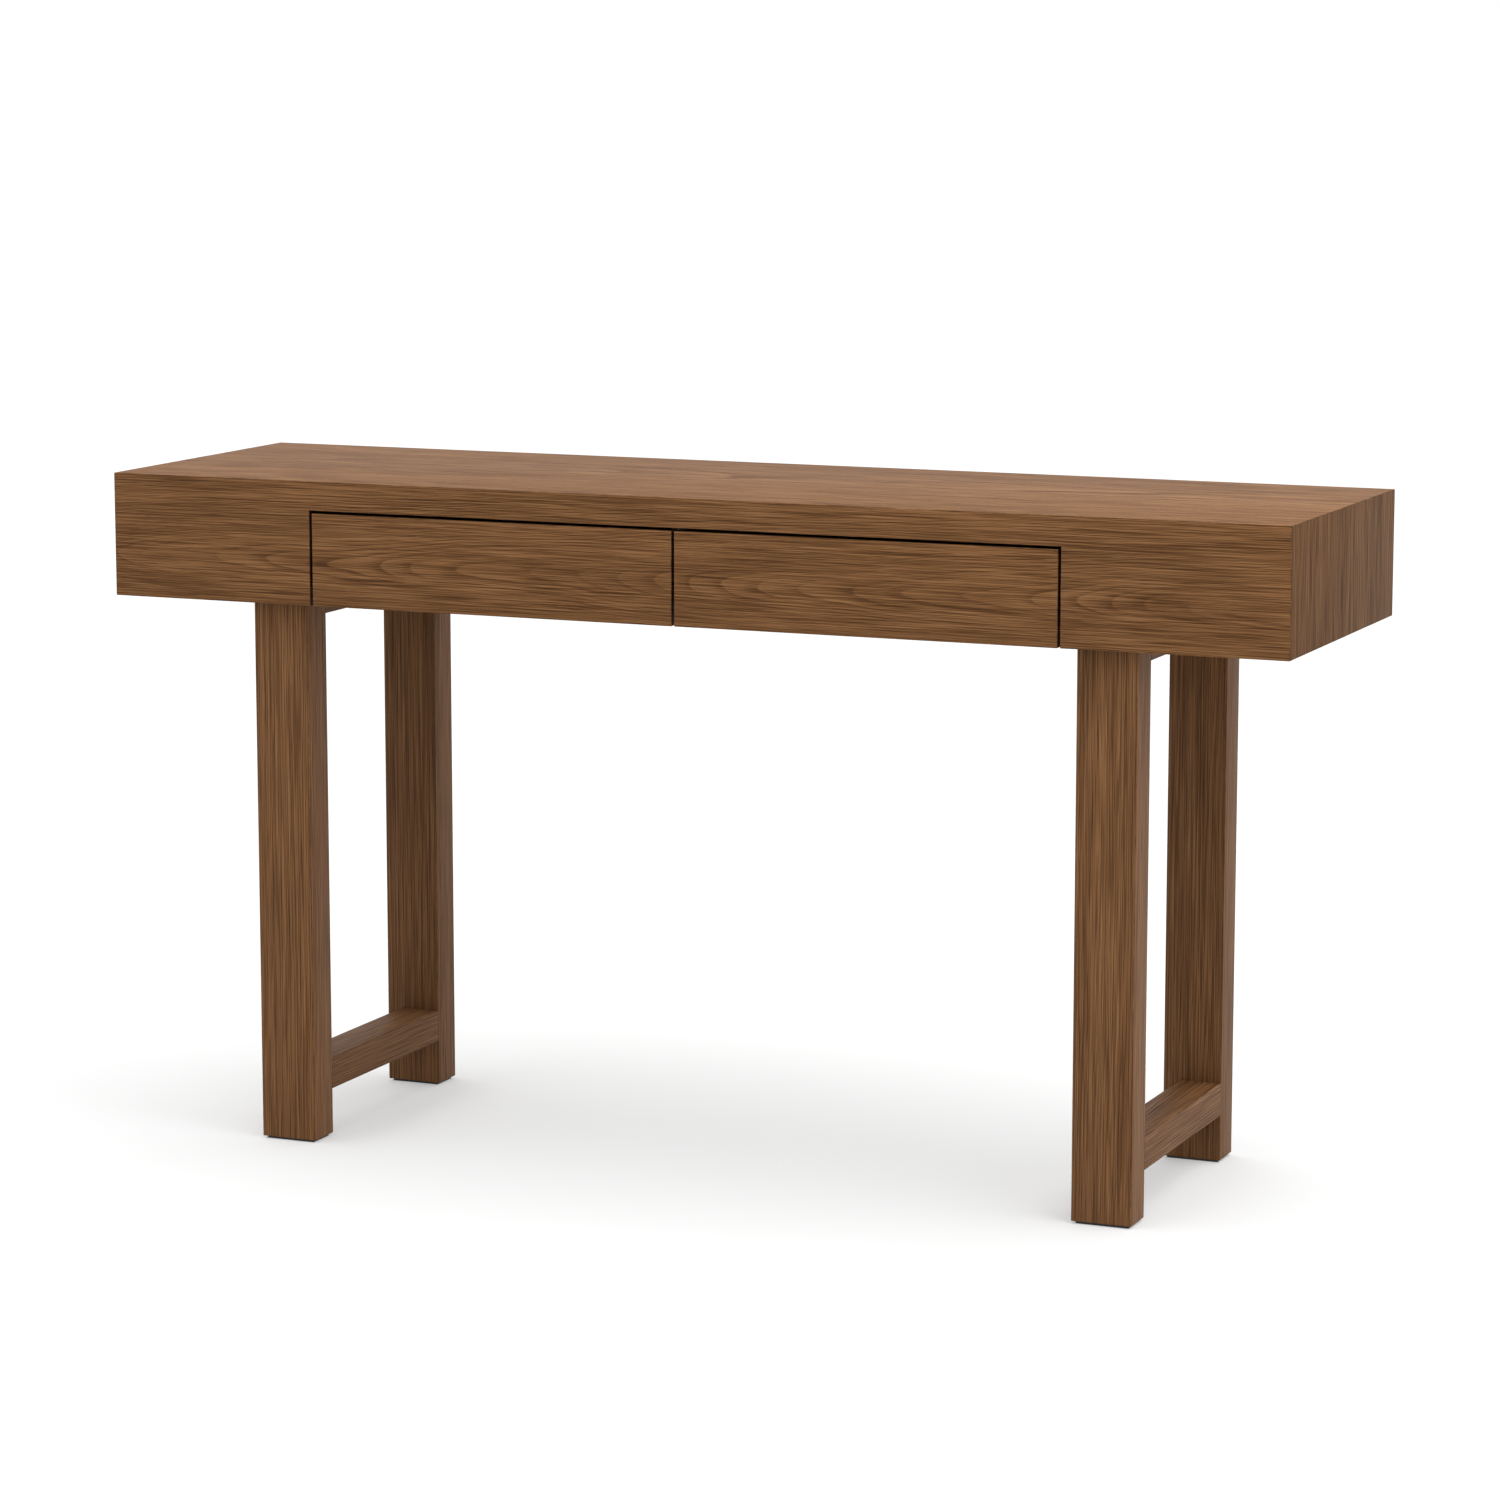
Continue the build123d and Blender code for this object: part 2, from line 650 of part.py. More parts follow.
os.makedirs("parts", exist_ok=True)
for node_name, node_shape in table_nodes().items():
    export_step(node_shape, f"parts/{node_name}.step")
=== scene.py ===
"""Console table in stained oak: its boards, posts, rails, drawer fronts and finishes, and a plain studio."""

import math

import bmesh
import bpy
from bpy.props import FloatProperty, FloatVectorProperty, IntProperty, PointerProperty
from bpy.types import Operator, Panel, PropertyGroup
from mathutils import Matrix, Vector


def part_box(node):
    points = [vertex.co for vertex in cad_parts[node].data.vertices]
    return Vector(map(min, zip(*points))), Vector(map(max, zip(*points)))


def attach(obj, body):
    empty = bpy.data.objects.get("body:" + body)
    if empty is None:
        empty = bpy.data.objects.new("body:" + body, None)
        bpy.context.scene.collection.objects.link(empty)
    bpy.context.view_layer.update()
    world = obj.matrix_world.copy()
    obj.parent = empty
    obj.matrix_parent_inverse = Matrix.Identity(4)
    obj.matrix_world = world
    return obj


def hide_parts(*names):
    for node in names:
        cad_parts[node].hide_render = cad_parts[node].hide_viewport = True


bl_info = {
    "name": "Console table",
    "version": (1, 0, 0),
    "blender": (4, 5, 0),
    "location": "View3D > Sidebar > Console table",
    "description": "Builds and finishes the boards, leg frames and drawers of a console table",
    "category": "Object",
}

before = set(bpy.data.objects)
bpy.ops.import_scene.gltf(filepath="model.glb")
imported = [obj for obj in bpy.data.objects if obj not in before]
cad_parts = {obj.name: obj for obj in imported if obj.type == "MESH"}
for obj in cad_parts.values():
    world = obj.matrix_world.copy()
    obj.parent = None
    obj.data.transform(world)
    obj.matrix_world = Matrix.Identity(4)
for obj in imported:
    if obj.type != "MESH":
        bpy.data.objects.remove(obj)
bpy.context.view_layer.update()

SIDES = ("left", "right")
X, Y, Z = Vector((1, 0, 0)), Vector((0, 1, 0)), Vector((0, 0, 1))

CASE_LOW = Vector((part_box("left_end_panel")[0].x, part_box("front_fascia")[0].y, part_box("front_fascia")[0].z))
CASE_HIGH = Vector((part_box("right_end_panel")[1].x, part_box("back_panel")[1].y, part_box("top_panel")[1].z))
CASE_MIDDLE = (CASE_LOW + CASE_HIGH) / 2
OPENING_HALF = -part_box("left_partition")[1].x
DRAWER_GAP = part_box("left_drawer_front")[0].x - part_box("left_partition")[1].x
OPENING_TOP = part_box("left_drawer_front")[1].z + DRAWER_GAP

# How far a cutting block runs past the board that it cuts, and how near two places are to be the same
PAST = 0.01
TOUCH = 0.00005

# A face whose normal lies nearer than this to an axis is flat, and edges blunter than the angle are smooth
FLAT = 0.999
SMOOTH_ANGLE = math.radians(28)

# Spacing of the year rings
RING_WIDTH = 0.003

# Each seed gives another part of the tree, so that no two boards have the same figure
TOP_SEED = 32
FRONT_SEED = 2
BACK_SEED = 3
FIRST_END_SEED = 4
FIRST_POST_SEED = 10
FIRST_RAIL_SEED = 20
BOTTOM_SEED = 30

# Light and dark colours of the plainer woods
CARCASS_COLOURS = (0.20, 0.115, 0.06), (0.10, 0.055, 0.028)
MAPLE_COLOURS = (0.40, 0.255, 0.135), (0.26, 0.155, 0.075)
BIRCH_COLOURS = (0.43, 0.30, 0.175), (0.31, 0.205, 0.11)
BEECH_COLOURS = (0.60, 0.40, 0.24), (0.45, 0.28, 0.15)

# Colour and dullness of the metals, and no drawing lines where a part is turned
RUNNER_ZINC = (0.62, 0.64, 0.66), 0.28
CAGE_STEEL = (0.50, 0.51, 0.53), 0.2
SCREW_ZINC = (0.66, 0.65, 0.62), 0.25
BLACK_OXIDE = (0.05, 0.05, 0.055), 0.4
BRASS = (0.72, 0.50, 0.20), 0.25
UNDRAWN = Vector((0, 0, 0))


# ---------------------------------------------------------------- settings


class TableShape(PropertyGroup):
    """Sizes of the worked edges."""

    case_arris: FloatProperty(
        name="Case arris",
        description="Radius of the rounded outer edges of the case",
        default=0.0012,
        min=0.0002,
        unit="LENGTH",
    )
    opening_arris: FloatProperty(
        name="Opening arris",
        description="Width of the broken edge round the drawer opening",
        default=0.0007,
        min=0.0001,
        unit="LENGTH",
    )
    drawer_arris: FloatProperty(
        name="Drawer arris",
        description="Radius of the edges of a drawer front",
        default=0.0008,
        min=0.0001,
        unit="LENGTH",
    )
    post_arris: FloatProperty(
        name="Post arris",
        description="Radius of the edges of the posts and rails",
        default=0.0011,
        min=0.0002,
        unit="LENGTH",
    )
    arris_steps: IntProperty(
        name="Arris steps",
        description="Facets across each rounded edge",
        default=4,
        min=1,
        max=8,
    )


class OakFinish(PropertyGroup):
    """Colours and scale of the stained oak."""

    dark_stain: FloatVectorProperty(
        name="Dark stain",
        description="Colour of the darkest streaks",
        subtype="COLOR",
        size=3,
        default=(0.056, 0.0235, 0.0080),
    )
    middle_stain: FloatVectorProperty(
        name="Middle stain",
        description="Main colour of the wood",
        subtype="COLOR",
        size=3,
        default=(0.127, 0.0560, 0.0198),
    )
    light_stain: FloatVectorProperty(
        name="Light stain",
        description="Colour of the palest streaks",
        subtype="COLOR",
        size=3,
        default=(0.214, 0.105, 0.044),
    )
    # The pore colour is also what the painted gap shadow and the darkened edges are blended towards.
    pore_stain_and_gap_shade: FloatVectorProperty(
        name="Pore stain",
        description="Colour that has gathered in the open pores",
        subtype="COLOR",
        size=3,
        default=(0.026, 0.0112, 0.0048),
    )
    sheen_roughness: FloatProperty(
        name="Lacquer roughness",
        description="Roughness of the satin lacquer between the pores",
        default=0.58,
        min=0.1,
        max=1.0,
    )
    pore_depth: FloatProperty(
        name="Pore depth",
        description="How deep the grain stands open",
        default=0.00012,
        unit="LENGTH",
    )


class StudioSet(PropertyGroup):
    """The floor, the lights and the camera."""

    camera_place: FloatVectorProperty(
        name="Camera place",
        description="Where the camera stands",
        subtype="TRANSLATION",
        size=3,
        default=(2.27, -5.328, 1.434),
    )
    camera_heading: FloatProperty(
        name="Camera heading",
        description="Turn of the camera towards the left end of the table",
        subtype="ANGLE",
        default=math.radians(23.0),
    )
    camera_tilt: FloatProperty(
        name="Camera tilt",
        description="How far the camera looks down",
        subtype="ANGLE",
        default=math.radians(9.13),
    )
    lens: FloatProperty(name="Lens", description="Focal length in millimetres", default=113.73)
    surround_light: FloatProperty(
        name="Surround light", description="Brightness of the white surround at the horizon", default=1.0
    )
    ceiling_light: FloatProperty(
        name="Ceiling light", description="What the soft ceiling light adds straight overhead", default=2.1
    )
    softbox_power: FloatProperty(
        name="Softbox power", description="Power of the softbox above the right end", default=15.0
    )
    side_power: FloatProperty(
        name="Side power", description="Power of the low softbox beyond the right end", default=20.0
    )
    floor_size: FloatProperty(
        name="Floor size", description="Side of the square floor", default=600.0, unit="LENGTH"
    )
    floor_grey: FloatProperty(
        name="Floor grey", description="How much of the light the pale floor gives back", default=0.42
    )
    floor_glow: FloatProperty(
        name="Floor glow", description="Light through the floor, which keeps the shadows pale", default=0.3
    )


# ---------------------------------------------------------------- modelling


def add_block(name, low, high):
    """A plain block between two corners, with its place and size in its mesh."""
    bpy.ops.object.select_all(action="DESELECT")
    bpy.ops.mesh.primitive_cube_add(size=1, location=(low + high) / 2, scale=high - low)
    bpy.ops.object.transform_apply(location=True, rotation=True, scale=True)
    block = bpy.context.object
    rename(block, name)
    return block


def edit(piece):
    """Open one piece in edit mode with nothing selected, and return its mesh."""
    bpy.ops.object.select_all(action="DESELECT")
    piece.select_set(True)
    bpy.context.view_layer.objects.active = piece
    bpy.ops.object.mode_set(mode="EDIT")
    bpy.ops.mesh.select_mode(type="EDGE")
    bpy.ops.mesh.select_all(action="DESELECT")
    return bmesh.from_edit_mesh(piece.data)


def round_edges(piece, width, steps, wanted):
    """Round the edges of a piece whose two ends pass the wanted test."""
    mesh = edit(piece)
    for edge in mesh.edges:
        edge.select_set(wanted(edge.verts[0].co, edge.verts[1].co))
    bmesh.update_edit_mesh(piece.data)
    bpy.ops.mesh.bevel(offset=width, segments=steps, affect="EDGES", profile=0.5)
    bpy.ops.object.mode_set(mode="OBJECT")


def cut_away(piece, point, outward):
    """Saw a piece along a plane, keep what lies behind it and close the cut."""
    edit(piece)
    bpy.ops.mesh.select_all(action="SELECT")
    bpy.ops.mesh.bisect(plane_co=point, plane_no=outward, use_fill=True, clear_outer=True)
    bpy.ops.object.mode_set(mode="OBJECT")


def hollow(piece, low, high):
    """Cut a block out of a piece."""
    cutter = add_block("cutter", low, high)
    cut = piece.modifiers.new("Opening", "BOOLEAN")
    cut.operation = "DIFFERENCE"
    cut.solver = "EXACT"
    cut.object = cutter
    bpy.context.view_layer.objects.active = piece
    bpy.ops.object.modifier_apply(modifier=cut.name)
    bpy.data.objects.remove(cutter)


def copies(model, nodes):
    """The model for the first node, and for each other node a copy with its own mesh, moved to its place."""
    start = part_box(nodes[0])[0]
    pieces = [model]
    for node in nodes[1:]:
        bpy.ops.object.select_all(action="DESELECT")
        model.select_set(True)
        bpy.context.view_layer.objects.active = model
        bpy.ops.object.duplicate(linked=False)
        bpy.ops.transform.translate(value=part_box(node)[0] - start)
        bpy.ops.object.transform_apply(location=True, rotation=False, scale=False)
        pieces.append(bpy.context.object)
    return pieces


def rename(piece, name):
    """Name a piece and its mesh."""
    piece.name = name
    piece.data.name = name


def any_edge(start, end):
    """Every edge of a piece."""
    return True


def mark_faces(piece, name, wanted):
    """Store on each face whether it passes the wanted test, for the finish to read."""
    mark = piece.data.attributes.new(name, "FLOAT", "FACE")
    for face in piece.data.polygons:
        mark.data[face.index].value = 1.0 if wanted(face) else 0.0


def is_arris(face):
    """Whether a face is part of a worked edge."""
    return max(abs(part) for part in face.normal) < FLAT


def finish_piece(piece, body, nodes, material):
    """Shade a piece, give it its finish and put it in the place of its CAD nodes."""
    mark_faces(piece, "arris", is_arris)
    bpy.ops.object.select_all(action="DESELECT")
    piece.select_set(True)
    bpy.context.view_layer.objects.active = piece
    bpy.ops.object.shade_smooth_by_angle(angle=SMOOTH_ANGLE)
    piece.data.materials.clear()
    piece.data.materials.append(material)
    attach(piece, body)
    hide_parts(*nodes)


def mitred_board(name, node, outward, neighbours):
    """One outer board of the case: cut from the rounded block of the case along a mitre to each neighbour."""
    shape = bpy.context.scene.table_shape
    board = add_block(name, CASE_LOW, CASE_HIGH)
    round_edges(board, shape.case_arris, shape.arris_steps, any_edge)
    for neighbour in neighbours:
        cut_away(board, corner_towards(outward + neighbour), neighbour - outward)
    low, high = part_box(node)
    inner = low if outward.x + outward.y + outward.z > 0 else high
    cut_away(board, inner, -outward)
    return board


def corner_towards(direction):
    """The corner of the case furthest along a direction."""
    return Vector(high if part > 0 else low for part, low, high in zip(direction, CASE_LOW, CASE_HIGH))


# ---------------------------------------------------------------- node helpers


def add_node(tree, kind, inputs=None, **settings):
    """A node with its settings and inputs; an input is a value or another node's output."""
    made = tree.nodes.new(kind)
    for key, value in settings.items():
        setattr(made, key, value)
    for key, value in (inputs or {}).items():
        if isinstance(value, bpy.types.NodeSocket):
            tree.links.new(value, made.inputs[key])
        else:
            made.inputs[key].default_value = value
    return made


def calc(tree, operation, *values):
    """The result of one maths node."""
    return add_node(tree, "ShaderNodeMath", dict(enumerate(values)), operation=operation).outputs[0]


def stretch(tree, vector, scale):
    """A vector with each part multiplied by its own scale."""
    inputs = {0: vector, 1: scale}
    return add_node(tree, "ShaderNodeVectorMath", inputs, operation="MULTIPLY").outputs[0]


def noise(tree, vector, detail=2.0, roughness=0.5):
    """Smooth noise from 0 to 1 at a vector."""
    inputs = {"Vector": vector, "Scale": 1.0, "Detail": detail, "Roughness": roughness}
    return add_node(tree, "ShaderNodeTexNoise", inputs).outputs["Fac"]


def remap(tree, value, low, high, new_low=0.0, new_high=1.0):
    """A value stretched from one range to another, and held inside it."""
    inputs = {"Value": value, "From Min": low, "From Max": high, "To Min": new_low, "To Max": new_high}
    return add_node(tree, "ShaderNodeMapRange", inputs, interpolation_type="SMOOTHSTEP").outputs[0]


def curve(tree, value, points):
    """A value passed through straight lines between points."""
    ramp = add_node(tree, "ShaderNodeValToRGB", {"Fac": value})
    elements = ramp.color_ramp.elements
    while len(elements) < len(points):
        elements.new(0.5)
    for element, (place, level) in zip(elements, points):
        element.position = place
        element.color = (level, level, level, 1)
    return ramp.outputs["Color"]


def blend_colours(tree, factor, first, second):
    """A colour between two others."""
    made = add_node(tree, "ShaderNodeMix", data_type="RGBA")
    for socket, value in (("Factor_Float", factor), ("A_Color", first), ("B_Color", second)):
        place = next(s for s in made.inputs if s.identifier == socket)
        if isinstance(value, bpy.types.NodeSocket):
            tree.links.new(value, place)
        else:
            place.default_value = value
    return next(s for s in made.outputs if s.identifier == "Result_Color")


def new_material(name):
    """An empty material with a shader, and the two of them with the node tree."""
    material = bpy.data.materials.new(name)
    material.use_nodes = True
    tree = material.node_tree
    tree.nodes.clear()
    shader = add_node(tree, "ShaderNodeBsdfPrincipled")
    add_node(tree, "ShaderNodeOutputMaterial", {"Surface": shader.outputs[0]})
    return material, tree, shader


def object_point(tree):
    """The point on the piece, in metres in the table's frame."""
    return add_node(tree, "ShaderNodeTexCoord").outputs["Object"]


# ---------------------------------------------------------------- stained oak


def oak_figure():
    """Node group: the rings, streaks and pores of a board at a point in grain space.

    In grain space X runs along the grain, Y across the face and Z into the board. The rings are those of
    a tapering trunk whose heart runs under the face.
    """
    group = bpy.data.node_groups.get("oak figure")
    if group:
        return group
    group = bpy.data.node_groups.new("oak figure", "ShaderNodeTree")
    group.interface.new_socket("Point", in_out="INPUT", socket_type="NodeSocketVector")
    for name in ("Heart depth", "Taper", "Wander"):
        group.interface.new_socket(name, in_out="INPUT", socket_type="NodeSocketFloat")
    for name in ("Tone", "Pores", "Height"):
        group.interface.new_socket(name, in_out="OUTPUT", socket_type="NodeSocketFloat")
    given = add_node(group, "NodeGroupInput").outputs
    point = given["Point"]

    ring = ring_distance(group, point, given["Heart depth"], given["Taper"], given["Wander"])
    parts = add_node(group, "ShaderNodeSeparateXYZ", {0: point}).outputs
    beside = add_node(group, "ShaderNodeCombineXYZ", {0: parts[0], 1: ring, 2: parts[1]}).outputs[0]
    stagger = calc(group, "MULTIPLY", noise(group, stretch(group, point, (0, 260, 260)), 0.0), 9.0)

    def fibres(place, along, across, further, detail):
        """Long streaks with staggered ends."""
        offset = add_node(group, "ShaderNodeCombineXYZ", {0: stagger}).outputs[0]
        inputs = {0: stretch(group, place, (along, across, further)), 1: offset}
        shifted = add_node(group, "ShaderNodeVectorMath", inputs, operation="ADD").outputs[0]
        return noise(group, shifted, detail, 0.6)

    year = curve(
        group,
        calc(group, "FRACT", calc(group, "DIVIDE", ring, RING_WIDTH)),
        ((0.0, 0.0), (0.12, 0.15), (0.4, 0.8), (0.95, 1.0), (1.0, 0.0)),
    )
    boldness = remap(group, noise(group, stretch(group, beside, (2.5, 60, 12))), 0.35, 0.7)
    broad = noise(group, stretch(group, beside, (0.9, 60, 9)), 1.0)
    lines = fibres(beside, along=3, across=650, further=60, detail=2.0)
    streak = fibres(point, along=6, across=420, further=420, detail=3.0)
    fine = remap(group, fibres(point, along=11, across=760, further=760, detail=1.0), 0.3, 0.7)

    tone = 0.5
    for pattern, share in ((broad, 0.35), (lines, 0.55), (streak, 1.3), (fine, 0.7)):
        tone = calc(group, "MULTIPLY_ADD", calc(group, "SUBTRACT", pattern, 0.5), share, tone)
    rings = calc(group, "MULTIPLY", calc(group, "SUBTRACT", year, 0.62), boldness)
    tone = calc(group, "MULTIPLY_ADD", rings, 0.36, tone)

    dashes = remap(group, fibres(point, along=18, across=1400, further=1400, detail=1.0), 0.56, 0.7)
    early = calc(group, "SUBTRACT", 1.15, year)
    pores = add_node(
        group, "ShaderNodeMath", {0: dashes, 1: early}, operation="MULTIPLY", use_clamp=True
    ).outputs[0]
    height = calc(group, "MULTIPLY_ADD", streak, 0.5, calc(group, "MULTIPLY", pores, -1.0))
    add_node(group, "NodeGroupOutput", {"Tone": tone, "Pores": pores, "Height": height})
    return group


def ring_distance(tree, point, depth, taper, wander):
    """Distance from the heart of the trunk, with its taper and its wander."""
    parts = add_node(tree, "ShaderNodeSeparateXYZ", {0: point}).outputs
    sunk = calc(tree, "ADD", parts[2], depth)
    flat = add_node(tree, "ShaderNodeCombineXYZ", {1: parts[1], 2: sunk}).outputs[0]
    radius = add_node(tree, "ShaderNodeVectorMath", {0: flat}, operation="LENGTH").outputs["Value"]
    leaning = calc(tree, "MULTIPLY_ADD", parts[0], taper, radius)
    slow = calc(tree, "SUBTRACT", noise(tree, stretch(tree, point, (2.6, 8, 8)), 1.0), 0.5)
    quick = calc(tree, "SUBTRACT", noise(tree, stretch(tree, point, (11, 45, 45)), 1.0), 0.5)
    bent = calc(tree, "MULTIPLY_ADD", slow, wander, leaning)
    return calc(tree, "MULTIPLY_ADD", quick, calc(tree, "MULTIPLY", wander, 0.12), bent)


def grain_point(tree, grain, face, centre, seed):
    """The point in grain space: grain and face are the axes along the grain and out of the face."""
    across = face.cross(grain)
    turned = Matrix((grain, across, face))
    place = turned @ -centre + Vector((seed * 7.3, 0, 0))
    mapped = add_node(tree, "ShaderNodeMapping", {"Vector": object_point(tree)}, vector_type="POINT")
    mapped.inputs["Rotation"].default_value = turned.to_euler()
    mapped.inputs["Location"].default_value = place
    return mapped.outputs[0]


def stained_oak(
    name, grain, face, centre, seed, depth=0.1, taper=-0.03, wander=0.02, tint_and_painted_shade=1.0, gloss=0.06, contrast=1.0
):
    """Oak under a walnut stain and a satin lacquer, with its grain laid along one axis of the table."""
    finish = bpy.context.scene.oak_finish
    material, tree, shader = new_material(name)
    figure = add_node(tree, "ShaderNodeGroup", node_tree=oak_figure())
    tree.links.new(grain_point(tree, grain, face, centre, seed), figure.inputs["Point"])
    figure.inputs["Heart depth"].default_value = depth
    figure.inputs["Taper"].default_value = taper
    figure.inputs["Wander"].default_value = wander

    tone = calc(tree, "MULTIPLY_ADD", figure.outputs["Tone"], contrast, 0.5 - contrast / 2)
    ramp = add_node(tree, "ShaderNodeValToRGB", {"Fac": tone})
    stains = ((0.12, finish.dark_stain), (0.5, finish.middle_stain), (0.9, finish.light_stain))
    while len(ramp.color_ramp.elements) < len(stains):
        ramp.color_ramp.elements.new(0.5)
    for element, (place, stain) in zip(ramp.color_ramp.elements, stains):
        element.position = place
        # The stains are scaled by the tint, which on the end boards, the rear posts and the rails is painted
        # shade.
        element.color = (*(part * tint_and_painted_shade for part in stain), 1)
    filled = calc(tree, "MULTIPLY", figure.outputs["Pores"], 0.75)
    colour = blend_colours(tree, filled, ramp.outputs["Color"], (*finish.pore_stain_and_gap_shade, 1))
    # Painted shadow: the faces lining the drawer gaps are blended almost to the pore colour, so that the gaps
    # read as black shade; the worked edges are darkened in patches as well.
    sawn = add_node(tree, "ShaderNodeAttribute", attribute_name="painted_gap_shade").outputs["Fac"]
    gap_shade_and_edge_darkening = calc(tree, "MAXIMUM", calc(tree, "MULTIPLY", sawn, 0.95), darkened_arrises(tree))
    tree.links.new(blend_colours(tree, gap_shade_and_edge_darkening, colour, (*finish.pore_stain_and_gap_shade, 1)), shader.inputs["Base Color"])

    rough = calc(tree, "MULTIPLY_ADD", figure.outputs["Pores"], 0.25, finish.sheen_roughness)
    rough = calc(tree, "MULTIPLY_ADD", figure.outputs["Tone"], -0.08, rough)
    tree.links.new(rough, shader.inputs["Roughness"])
    bump = add_node(
        tree,
        "ShaderNodeBump",
        {"Height": figure.outputs["Height"], "Strength": 0.6, "Distance": finish.pore_depth},
    )
    tree.links.new(bump.outputs[0], shader.inputs["Normal"])
    shader.inputs["Specular IOR Level"].default_value = gloss
    return material


def darkened_arrises(tree):
    """How much the worked edges are darkened towards the pore colour, in patches."""
    arris = add_node(tree, "ShaderNodeAttribute", attribute_name="arris").outputs["Fac"]
    patch = remap(tree, noise(tree, stretch(tree, object_point(tree), (60, 60, 60)), 3.0), 0.35, 0.65)
    return calc(tree, "MULTIPLY", calc(tree, "MULTIPLY", arris, patch), 0.45)


# ---------------------------------------------------------------- other finishes


def pale_wood(name, grain, colour, dark):
    """Clear-lacquered wood of the drawer boxes and dowels."""
    material, tree, shader = new_material(name)
    scale = Vector((90, 90, 90)) - grain * 84
    stripes = noise(tree, stretch(tree, object_point(tree), scale), 4.0, 0.6)
    cloud = noise(tree, stretch(tree, object_point(tree), scale / 5), 2.0)
    tone = calc(tree, "MULTIPLY_ADD", cloud, 0.6, calc(tree, "MULTIPLY", stripes, 0.7))
    face = blend_colours(tree, remap(tree, tone, 0.35, 0.95), (*dark, 1), (*colour, 1))
    dots = noise(tree, stretch(tree, object_point(tree), (700, 700, 700)), 2.0)
    sawn = blend_colours(tree, dots, (*(part * 0.45 for part in dark), 1), (*dark, 1))
    tree.links.new(blend_colours(tree, end_grain(tree, grain), face, sawn), shader.inputs["Base Color"])
    tree.links.new(remap(tree, stripes, 0.3, 0.7, 0.42, 0.55), shader.inputs["Roughness"])
    bump = add_node(tree, "ShaderNodeBump", {"Height": stripes, "Strength": 0.35, "Distance": 0.0002})
    tree.links.new(bump.outputs[0], shader.inputs["Normal"])
    return material


def end_grain(tree, grain):
    """Where a surface cuts across the grain."""
    normal = add_node(tree, "ShaderNodeTexCoord").outputs["Normal"]
    inputs = {0: normal, 1: grain}
    along = add_node(tree, "ShaderNodeVectorMath", inputs, operation="DOT_PRODUCT").outputs["Value"]
    return remap(tree, calc(tree, "ABSOLUTE", along), 0.7, 0.8)


def plated_steel(name, colour, dull, along):
    """Plated metal with cloudy plating, and fine drawing lines along one axis."""
    material, tree, shader = new_material(name)
    lines = noise(tree, stretch(tree, object_point(tree), Vector((1500, 1500, 1500)) - along * 1470), 2.0)
    cloud = noise(tree, stretch(tree, object_point(tree), (55, 55, 55)), 3.0)
    clouded = tuple(part * 0.72 for part in colour)
    plating = blend_colours(tree, remap(tree, cloud, 0.3, 0.7), (*clouded, 1), (*colour, 1))
    tree.links.new(plating, shader.inputs["Base Color"])
    tree.links.new(remap(tree, lines, 0.25, 0.75, dull, dull + 0.18), shader.inputs["Roughness"])
    bump = add_node(tree, "ShaderNodeBump", {"Height": lines, "Strength": 0.2, "Distance": 0.00005})
    tree.links.new(bump.outputs[0], shader.inputs["Normal"])
    shader.inputs["Metallic"].default_value = 1.0
    return material


def black_nylon():
    """Moulded black nylon with a fine spark texture."""
    material, tree, shader = new_material("black nylon")
    grain = noise(tree, stretch(tree, object_point(tree), (900, 900, 900)), 2.0)
    scuffs = noise(tree, stretch(tree, object_point(tree), (70, 240, 120)), 3.0)
    tree.links.new(
        blend_colours(tree, remap(tree, scuffs, 0.5, 0.8), (0.008, 0.008, 0.008, 1), (0.03, 0.028, 0.026, 1)),
        shader.inputs["Base Color"],
    )
    tree.links.new(remap(tree, grain, 0.3, 0.7, 0.5, 0.7), shader.inputs["Roughness"])
    bump = add_node(tree, "ShaderNodeBump", {"Height": grain, "Strength": 0.3, "Distance": 0.00008})
    tree.links.new(bump.outputs[0], shader.inputs["Normal"])
    return material


def dress(nodes, material):
    """Give CAD nodes that keep their shape a better finish."""
    for name in nodes:
        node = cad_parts[name]
        for place in node.material_slots:
            place.material = material


# ---------------------------------------------------------------- operators


def case_face(node, outward):
    """The middle of the outer face of a case board."""
    low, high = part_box(node)
    middle = (low + high) / 2
    return middle + outward * (corner_towards(outward) - middle).dot(outward)


class CONSOLE_OT_top_board(Operator):
    """Build the mitred top board."""

    bl_idname = "console.top_board"
    bl_label = "Top board"

    def execute(self, context):
        board = mitred_board("tabletop", "top_panel", Z, (X, -X, Y, -Y))
        middle = Vector((0, 0.05, CASE_HIGH.z))
        oak = stained_oak(
            "oak top", X, Z, middle, TOP_SEED, depth=0.35, taper=0.008, wander=0.01, gloss=0.04, contrast=1.9
        )
        finish_piece(board, "table", ["top_panel"], oak)
        return {"FINISHED"}


